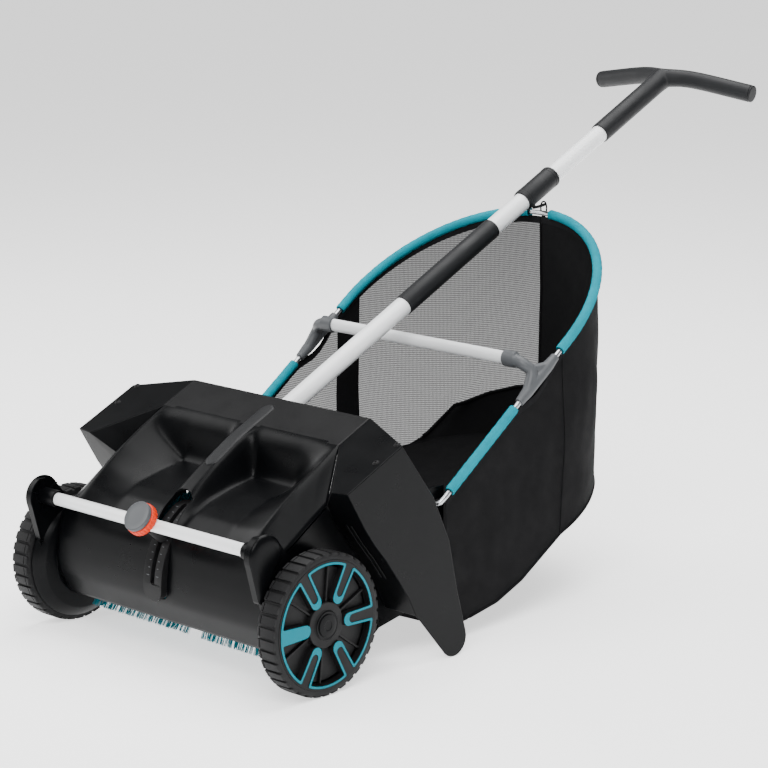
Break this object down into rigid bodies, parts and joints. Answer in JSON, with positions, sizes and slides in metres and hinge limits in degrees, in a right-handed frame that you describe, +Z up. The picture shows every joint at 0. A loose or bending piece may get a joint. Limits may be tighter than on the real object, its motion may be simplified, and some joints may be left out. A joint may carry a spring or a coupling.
{
  "type": "lawn sweeper",
  "caption": "Walk-behind lawn sweeper: wheel-driven roller brush under a moulded hood, height-adjusting cross bar, T-shaped push handle and a hooped collector bag.",
  "frame": {"origin": "on the ground under the middle of the machine's overall box", "axes": "+Z up, +Y from the wheels towards the handle, +X to the right-hand wheel as seen from the front"},
  "size_m": [0.568, 1.2287, 0.7627],
  "materials": {
    "black_plastic": "satin",
    "grey_plastic": "satin",
    "charcoal_plastic": "matte",
    "orange_plastic": "satin",
    "turquoise_plastic": "satin",
    "turquoise_bristle": "matte",
    "turquoise_fabric": "matte",
    "black_fabric": "matte",
    "tyre_rubber": "matte",
    "white_metal": "satin",
    "light_metal": "satin",
    "steel": "satin"
  },
  "bodies": {
    "housing": {"hood": "black_plastic", "height_track": "black_plastic", "rear_chute": "black_plastic", "handle_socket": "black_plastic", "side_wall_right": "black_plastic", "side_wall_left": "black_plastic", "side_casing_right": "black_plastic", "side_casing_left": "black_plastic", "brush_bush_right": "grey_plastic", "brush_bush_left": "grey_plastic", "lower_tube": "white_metal", "upper_tube": "white_metal", "tube_sleeve": "charcoal_plastic", "hook_collar": "charcoal_plastic", "t_handle": "charcoal_plastic", "grip_cap_right": "charcoal_plastic", "grip_cap_left": "charcoal_plastic"},
    "height_adjuster": {"cross_bar": "white_metal", "clamp_foot": "black_plastic", "clamp_bolt": "steel", "arm_right": "black_plastic", "arm_left": "black_plastic", "axle_right": "steel", "axle_left": "steel"},
    "clamp_knob": {"knob_ring": "orange_plastic", "knob_cap": "grey_plastic"},
    "brush": {"brush_shaft": "steel", "brush_core_right": "grey_plastic", "brush_core_left": "grey_plastic", "bristle_strip_right_1": "turquoise_bristle", "bristle_strip_right_2": "turquoise_bristle", "bristle_strip_right_3": "turquoise_bristle", "bristle_strip_right_4": "turquoise_bristle", "bristle_strip_left_1": "turquoise_bristle", "bristle_strip_left_2": "turquoise_bristle", "bristle_strip_left_3": "turquoise_bristle", "bristle_strip_left_4": "turquoise_bristle"},
    "bag": {"hoop_wire": "steel", "bag_crossbar": "light_metal", "hoop_connector_right": "grey_plastic", "hoop_connector_left": "grey_plastic", "hem_lower_right": "turquoise_fabric", "hem_lower_left": "turquoise_fabric", "hem_upper_right": "turquoise_fabric", "hem_upper_left": "turquoise_fabric", "bag_fabric": "black_fabric", "hook_cord": "black_fabric"},
    "wheel_right": {"tyre_right": "tyre_rubber", "rim_right": "black_plastic", "rim_trim_right": "turquoise_plastic", "hub_cap_right": "black_plastic", "ring_gear_right": "grey_plastic"},
    "drive_pinion_right": {"pinion_right": "grey_plastic"},
    "wheel_left": {"tyre_left": "tyre_rubber", "rim_left": "black_plastic", "rim_trim_left": "turquoise_plastic", "hub_cap_left": "black_plastic", "ring_gear_left": "grey_plastic"},
    "drive_pinion_left": {"pinion_left": "grey_plastic"}
  },
  "joints": [
    {"name": "height_adjust", "type": "hinge", "parent": "housing", "child": "height_adjuster", "pos_m": [0, -0.45054, 0.11432], "axis": [1, 0, 0], "range_deg": [-24, 30]},
    {"name": "knob_turn", "type": "hinge", "parent": "height_adjuster", "child": "clamp_knob", "pos_m": [0, -0.5792, 0.2085], "axis": [0, -0.8069, 0.5907], "range_deg": [0, 720]},
    {"name": "brush_spin", "type": "hinge", "parent": "housing", "child": "brush", "pos_m": [0, -0.45054, 0.11432], "axis": [1, 0, 0], "continuous": true},
    {"name": "bag_pull_off", "type": "slide", "parent": "housing", "child": "bag", "axis": [0, 1, 0], "range_m": [0, 0.4]},
    {"name": "wheel_right_spin", "type": "hinge", "parent": "height_adjuster", "child": "wheel_right", "pos_m": [0, -0.5032, 0.10236], "axis": [1, 0, 0], "continuous": true},
    {"name": "pinion_right_spin", "type": "hinge", "parent": "height_adjuster", "child": "drive_pinion_right", "pos_m": [0, -0.45054, 0.11432], "axis": [1, 0, 0], "continuous": true},
    {"name": "wheel_left_spin", "type": "hinge", "parent": "height_adjuster", "child": "wheel_left", "pos_m": [0, -0.5032, 0.10236], "axis": [1, 0, 0], "continuous": true},
    {"name": "pinion_left_spin", "type": "hinge", "parent": "height_adjuster", "child": "drive_pinion_left", "pos_m": [0, -0.45054, 0.11432], "axis": [1, 0, 0], "continuous": true}
  ],
  "couplings": [
    {"joint": "pinion_right_spin", "follows": "wheel_right_spin", "ratio": 4},
    {"joint": "pinion_left_spin", "follows": "wheel_left_spin", "ratio": 4},
    {"joint": "brush_spin", "follows": "wheel_right_spin", "ratio": 4}
  ]
}
